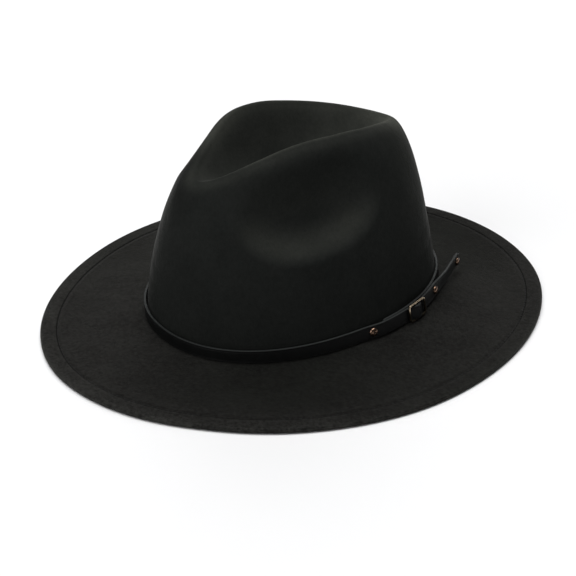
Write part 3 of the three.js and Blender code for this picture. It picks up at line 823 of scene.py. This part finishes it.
buckle = make_piece("wire_buckle", place + flat_points @ axes, squares, bar_triangles + start)
faces_out = smooth_step((flat_points[:, 2] / WIRE_RADIUS - 0.1) / 0.8)
# The top and left side get brighter metal, a painted highlight; the outward faces are rubbed bright.
upper_side = 1.4 * flat_points[:, 1] / half_height - 0.35 * flat_points[:, 0] / half_length
polish_and_highlight = faces_out * smooth_step((upper_side - 0.45) / 0.75)
store_share(buckle, "polished", (1 + POLISH_LOSS) * polish_and_highlight - POLISH_LOSS)
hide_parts("buckle")
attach(buckle, "root")

# %% [markdown]
# The rivets
#
# Three small domed rivets hold the leather. Each is turned on a lathe in our heads: an outline of radius
# and height, carried once round. The dome has a rolled rim, and a dimple where the setting tool pressed.
# One outline serves all three, set on the strap with its axis straight out.

# %% Three domed rivets
RIVET_RADIUS = 2.95
RIVET_DOME = 1.6
RIVET_SIDES = 40
RIM_HEIGHT = 0.3
SHANK_RADII = [1.0, 1.0, 2.35, 2.52]
SHANK_HEIGHTS = [-1.5, 0.0, 0.02, 0.08]
DIMPLE_DEPTH = 0.52
DIMPLE_RADIUS = 0.72
RIVET_1_ANGLE = math.radians(4) + TURN
RIVET_2_ALONG_TAIL = 3.2
RIVET_3_ALONG_TAIL = 46.3
RIVET_3_HEIGHT = 3.4
dome = np.radians(np.linspace(0, 74, 16))
outline_radius = np.concatenate([SHANK_RADII, RIVET_RADIUS * np.cos(dome)])
outline_height = np.concatenate([SHANK_HEIGHTS, RIM_HEIGHT + RIVET_DOME * np.sin(dome)])
dimple = np.linspace(outline_radius[-1], 0.12, 9)[1:]
sunk = DIMPLE_DEPTH * smooth_step(1.15 - dimple / DIMPLE_RADIUS)
outline_radius = np.append(outline_radius, dimple)
outline_height = np.append(outline_height, outline_height[-1] - sunk)
round_axis = np.arange(RIVET_SIDES) * TURN / RIVET_SIDES
rivet_rings = with_height(circle(outline_radius[:, None], round_axis), outline_height[:, None])
polished = smooth_step((outline_radius - 0.62) / 0.35) * smooth_step((outline_height - 0.1) / 0.5)


def set_rivet(name, node, path, height=STRAP_HEIGHT / 2):
    """The rings laid on the strap's face with their axis straight out of it."""
    place, axes = strap_seat(path, height, STRAP_THICKNESS)
    rivet = make_piece(name, *closed_rings(place + rivet_rings @ axes))
    store_share(rivet, "polished", np.append(np.repeat(polished, RIVET_SIDES), [0, 0]))
    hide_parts(node)
    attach(rivet, "root")
    return rivet


rivets = [
    set_rivet("domed_rivet_1", "rivet_1", strap_frame(RIVET_1_ANGLE)),
    set_rivet("domed_rivet_2", "rivet_2", tail_frame(RIVET_2_ALONG_TAIL)),
    set_rivet("domed_rivet_3", "rivet_3", tail_frame(RIVET_3_ALONG_TAIL), height=RIVET_3_HEIGHT),
]

# %% [markdown]
# A short way to write materials
#
# A material is a small network of nodes. Writing each node and wire in full is long, so a few helpers add
# the kinds of node used here and join them. Patterns read the Object coordinates, which are metres on
# every piece here, so a noise scale of 1000 makes a grain of one millimetre whichever piece it is on.

# %% Helpers for materials
def new_material(name):
    """An empty material with its shader and its output joined."""
    material = bpy.data.materials.new(name)
    material.use_nodes = True
    return material, material.node_tree.nodes["Principled BSDF"]


def add_node(material, kind, inputs=None, **settings):
    """Adds a shader node. Settings are its own options; inputs are values or sockets by name or number."""
    node = material.node_tree.nodes.new("ShaderNode" + kind)
    for name, value in settings.items():
        setattr(node, name, value)
    join(material, node, inputs or {})
    return node


def join(material, node, inputs):
    """Sets each named input, or wires it when the value is another node's output."""
    for name, value in inputs.items():
        if isinstance(value, bpy.types.NodeSocket):
            material.node_tree.links.new(value, node.inputs[name])
        else:
            node.inputs[name].default_value = value


def object_place(material):
    """The place of each point in metres."""
    return add_node(material, "TexCoord").outputs["Object"]


def kept_share(material, name):
    """A share that was kept with each point."""
    return add_node(material, "Attribute", attribute_name=name).outputs["Fac"]


def noise(material, place, scale, detail=2.0, rough=0.5, distort=0.0):
    """A cloudy pattern. The scale is in grains per metre."""
    values = {"Vector": place, "Scale": scale, "Detail": detail, "Roughness": rough, "Distortion": distort}
    return add_node(material, "TexNoise", values).outputs["Fac"]


def spread(material, value, low, high, to_low=0.0, to_high=1.0):
    """Stretches the part of a pattern between low and high to a new range."""
    values = {"Value": value, "From Min": low, "From Max": high, "To Min": to_low, "To Max": to_high}
    return add_node(material, "MapRange", values).outputs["Result"]


def sum_of(material, kind, first, second):
    """Two values added or multiplied."""
    return add_node(material, "Math", {0: first, 1: second}, operation=kind).outputs[0]


def blend(material, share, first, second, kind="MIX"):
    """A colour between two colours, or their product."""
    return add_node(material, "Mix", {0: share, 6: first, 7: second}, data_type="RGBA",
                    blend_type=kind).outputs[2]


def bump(material, height, depth, strength, before=None):
    """Raises the surface by a pattern, up to a depth in metres, over an earlier bump if there is one."""
    values = {"Height": height, "Distance": depth, "Strength": strength}
    if before is not None:
        values["Normal"] = before
    return add_node(material, "Bump", values).outputs["Normal"]


# %% [markdown]
# Felt
#
# Felt is millions of dyed wool fibres, matted and then brushed. Face-on it is nearly black because light
# is lost between the fibres. Edge-on it lights up, since each fibre end catches light: that is what sheen
# is for. The colour has slow clouds from the dye and fine flecks from single fibres. The crown is finer
# and more even, in five belts with less sheen towards the foot, which is painted shade. The brim is
# brushed like suede, so it is warmer and more mottled. The kept shares then make the colour paler where
# highlights are painted, darker where shade is painted, and paler on the brim's band.

# %% The felt of the crown and of the brim
EVEN = {"clouds": 38.0, "sheen_rough": 0.27, "tint": (1.0, 1.0, 0.97, 1), "mottling": 0.2}
BRUSHED = {"clouds": 26.0, "sheen_rough": 0.5, "tint": (1.0, 0.99, 0.94, 1), "mottling": 0.6}
# Each lower belt of the crown has less sheen: painted shade towards the foot.
SHEEN_DOWN_THE_CROWN = {"crown_felt": 0.13, "felt_near_foot": 0.095, "felt_in_light_shade": 0.06,
                        "felt_in_more_shade": 0.045, "felt_in_deep_shade": 0.02}
# Colour factors: the crown's painted highlights and painted shade, the brim's paler band, its painted
# shade and the painted highlight on its edge.
CROWN_FACTORS = {"painted_highlight": (4.0, 3.8, 3.5, 1), "shaded": (0.35, 0.35, 0.35, 1)}
BRIM_FACTORS = {
    "band": (1.35, 1.35, 1.35, 1), "painted_brim_shade": (0.4, 0.46, 0.4, 1), "painted_edge_light": (2.2, 2.2, 2.2, 1),
}


def felt(piece, name, dark, light, sheen, nap_depth, factors, clouds, sheen_rough, tint, mottling):
    """Two shades mixed by slow clouds and fine flecks, with a brushed nap as bump and sheen for the fibre
    ends. The colour is then multiplied by each factor where its share, kept on the points, is one."""
    material, shader = new_material(name)
    place = object_place(material)
    stretch = {"Vector": place, "Scale": (1.0, 1.15, 0.9)}
    brushed = add_node(material, "Mapping", stretch).outputs[0]
    cloudy = 0.12 + 0.22 * mottling
    slow = spread(material, noise(material, place, clouds, 3.0, 0.55, 0.4), 0.3, 0.7, -cloudy, cloudy)
    tuft = noise(material, brushed, 330.0, 3.0, 0.6)
    fleck = noise(material, brushed, 950.0, 3.0, 0.65)
    fine = noise(material, brushed, 3200.0, 2.0, 0.7)
    tufts = spread(material, tuft, 0.3, 0.7, -0.75 * mottling, 0.75 * mottling)
    flecks = spread(material, fleck, 0.25, 0.75, 0.5 - mottling, 0.5 + mottling)
    share = sum_of(material, "ADD", slow, sum_of(material, "ADD", tufts, flecks))
    colour = blend(material, share, dark, light)
    for share_name, factor in factors.items():
        shade = blend(material, kept_share(material, share_name), (1, 1, 1, 1), factor)
        colour = blend(material, 1.0, colour, shade, "MULTIPLY")
    nap = sum_of(material, "ADD", fine, spread(material, fleck, 0.0, 1.0, 0.0, 0.8))
    lying = bump(material, noise(material, place, 140.0, 2.0), 0.0006, 0.4)
    tufted = bump(material, tuft, 0.00035, 0.5, lying)
    join(material, shader, {
        "Base Color": colour,
        "Roughness": spread(material, fleck, 0.2, 0.8, 0.88, 1.0),
        "Normal": bump(material, nap, nap_depth, 0.7, tufted),
        "Specular IOR Level": 0.0,
        "Sheen Weight": sheen,
        "Sheen Roughness": sheen_rough,
        "Sheen Tint": tint,
    })
    piece.data.materials.append(material)


for felt_name, sheen in SHEEN_DOWN_THE_CROWN.items():
    felt(crown, felt_name, (0.0089, 0.0099, 0.0092, 1), (0.0164, 0.0176, 0.0165, 1),
         sheen, 0.00008, CROWN_FACTORS, **EVEN)
felt(brim, "brim_felt", (0.0022, 0.0021, 0.0020, 1), (0.0118, 0.0117, 0.0108, 1),
     0.12, 0.00018, BRIM_FACTORS, **BRUSHED)
# A darker felt with less sheen for the channel: painted shade.
felt(brim, "channel_shade_felt", (0.0015, 0.0015, 0.0014, 1), (0.0075, 0.0075, 0.0069, 1),
     0.06, 0.0001, {}, **BRUSHED)

thread, thread_shader = new_material("black_thread")
twist = noise(thread, object_place(thread), 2600.0, 1.0)
join(thread, thread_shader, {
    "Base Color": blend(thread, twist, (0.003, 0.003, 0.0032, 1), (0.009, 0.009, 0.009, 1)),
    "Roughness": 0.7,
    "Normal": bump(thread, twist, 0.0001, 0.6),
    "Specular IOR Level": 0.2,
})
stitching.data.materials.append(thread)

# %% [markdown]
# Leather
#
# The strap is smooth dyed leather with a half gloss. Two bumps make its surface: cells a third of a
# millimetre wide for the pores, and a slower ripple where it has been bent. The cut edges are rougher,
# and there the dye is worn and the grey fibres show, which is the pale line that outlines the strap.
# Just past the buckle that line is kept dull, which is painted shade. The free tail's face is greyer,
# which is painted light.

# %% The strap's leather
leather, leather_shader = new_material("belt_leather")
leather_place = object_place(leather)
cut_edge = kept_share(leather, "cut_edge")
pores = add_node(leather, "TexVoronoi", {"Vector": leather_place, "Scale": 2600.0},
                 feature="DISTANCE_TO_EDGE").outputs["Distance"]
ripple = noise(leather, leather_place, 420.0, 3.0, 0.6)
rub = noise(leather, leather_place, 160.0, 4.0, 0.7)
new_face = blend(leather, rub, (0.0018, 0.0020, 0.0020, 1), (0.0044, 0.0048, 0.0048, 1))
# The tail's face is greyer: painted light.
lit_tail_face = blend(leather, rub, (0.0080, 0.0088, 0.0086, 1), (0.0150, 0.0162, 0.0158, 1))
face_colour = blend(leather, kept_share(leather, "tail"), new_face, lit_tail_face)
edge_colour = blend(leather, ripple, (0.010, 0.0113, 0.011, 1), (0.026, 0.029, 0.028, 1))
face_rough = spread(leather, rub, 0.25, 0.75, 0.34, 0.5)
edge_rough = sum_of(leather, "MULTIPLY", cut_edge, 0.2)
join(leather, leather_shader, {
    "Base Color": blend(leather, cut_edge, face_colour, edge_colour),
    "Roughness": sum_of(leather, "ADD", face_rough, edge_rough),
    "Normal": bump(leather, pores, 0.00006, 0.35, bump(leather, ripple, 0.00015, 0.3)),
    "Specular IOR Level": 0.15,
})
strap.data.materials.append(leather)

# %% [markdown]
# Antique bronze
#
# Buckle and rivets are plated in antique bronze: a warm metal, darkened all over, then rubbed bright on
# the high places. A metal has no colour of its own under the shine, so the tarnish is both darker and
# rougher. The polished share kept on each point says how high a place stands, and on the buckle it also
# brightens the top and left side, a painted highlight; a noise breaks it up.

# %% The metal of the buckle and of the rivets
def old_metal(name, bright, tarnish, coat):
    """Bright metal where the polished share is high, tarnish where it is low, broken up by two noises."""
    material, shader = new_material(name)
    place = object_place(material)
    spots = spread(material, noise(material, place, 1500.0, 3.0, 0.6), 0.3, 0.7, -0.28, 0.28)
    scratches = noise(material, place, 6000.0, 2.0)
    share = add_node(material, "Math", {0: kept_share(material, "polished"), 1: spots}, operation="ADD",
                     use_clamp=True).outputs[0]
    join(material, shader, {
        "Base Color": blend(material, share, tarnish, bright),
        "Metallic": 1.0,
        "Roughness": spread(material, share, 0.0, 1.0, 0.5, 0.24),
        "Normal": bump(material, scratches, 0.00003, 0.35),
        "Coat Weight": coat,
        "Coat Roughness": 0.18,
    })
    return material


buckle_bronze = old_metal("buckle_bronze", (0.62, 0.50, 0.36, 1), (0.015, 0.012, 0.007, 1), 0.12)
buckle.data.materials.append(buckle_bronze)
rivet_copper = old_metal("rivet_copper", (0.21, 0.13, 0.088, 1), (0.018, 0.011, 0.008, 1), 0.3)
for rivet in rivets:
    rivet.data.materials.append(rivet_copper)

# %% [markdown]
# The floor, the light and the camera
#
# A black object on white is lit from all around, or it turns into a hole. The floor is plain and pale.
# Five very soft suns light it: those overhead and behind draw the ridge, the dent's lower lip and the
# strap's top edge, and the two at the left lift the front wall. Suns light the whole floor alike, so it
# stays even. The camera looks down at thirty degrees on the wearer's left side and the front.

# %% The floor and the surroundings
bpy.ops.mesh.primitive_plane_add(size=12, location=(0, 0, -0.0003))
floor = bpy.context.object
floor.name = "floor"
floor_paint, floor_shader = new_material("floor_paint")
join(floor_paint, floor_shader, {"Base Color": (0.84, 0.84, 0.845, 1), "Roughness": 0.9,
                                 "Specular IOR Level": 0.1})
floor.data.materials.append(floor_paint)
world = bpy.data.worlds.new("surroundings")
scene.world = world
world.use_nodes = True
seen = add_node(world, "LightPath").outputs["Is Camera Ray"]
join(world, world.node_tree.nodes["Background"], {
    "Strength": spread(world, seen, 0.0, 1.0, 0.06, 1.0),
    "Color": (1.0, 1.0, 1.0, 1),
})

# %% The camera
AZIMUTH = math.radians(57.92)
ELEVATION = math.radians(30.05)
DISTANCE = 1.0
LENS = {"sensor_width": 36.0, "lens": 89.92, "shift_x": -0.01218, "shift_y": 0.02195}
back = Vector((
    math.sin(AZIMUTH) * math.cos(ELEVATION),
    -math.cos(AZIMUTH) * math.cos(ELEVATION),
    math.sin(ELEVATION),
))
camera = add_object("camera", bpy.data.cameras.new("camera"))
camera.location = back * DISTANCE
camera.rotation_euler = (-back).to_track_quat("-Z", "Y").to_euler()
for lens_part, value in LENS.items():
    setattr(camera.data, lens_part, value)
scene.camera = camera

# %% The lights
# Each sun has its place, to the camera's right, beyond the hat and above the floor, and its strength. Of
# the place only the direction counts.
SUN_SOFTNESS = math.radians(40)
SUNS = {
    "overhead": ((0, 0, 2), 1.55),
    "from_behind_right": ((0.6, 0.6, 1.8), 0.92),
    "from_the_left": ((-0.84, 0, 1.8), 0.55),
    "low_behind": ((0, 1.8, 0.84), 0.9),
    "low_front_left": ((-1.27, -1.27, 0.84), 1.04),
}
right = camera.rotation_euler.to_matrix() @ Vector((1, 0, 0))
forward = Vector((-back.x, -back.y, 0)).normalized()
for sun_name, (place, energy) in SUNS.items():
    sun = bpy.data.lights.new(sun_name, "SUN")
    sun.energy = energy
    sun.angle = SUN_SOFTNESS
    lamp = add_object(sun_name, sun)
    lamp.location = right * place[0] + forward * place[1] + Vector((0, 0, place[2]))
    lamp.rotation_euler = (-lamp.location).to_track_quat("-Z", "Y").to_euler()
scene.view_settings.view_transform = "Standard"
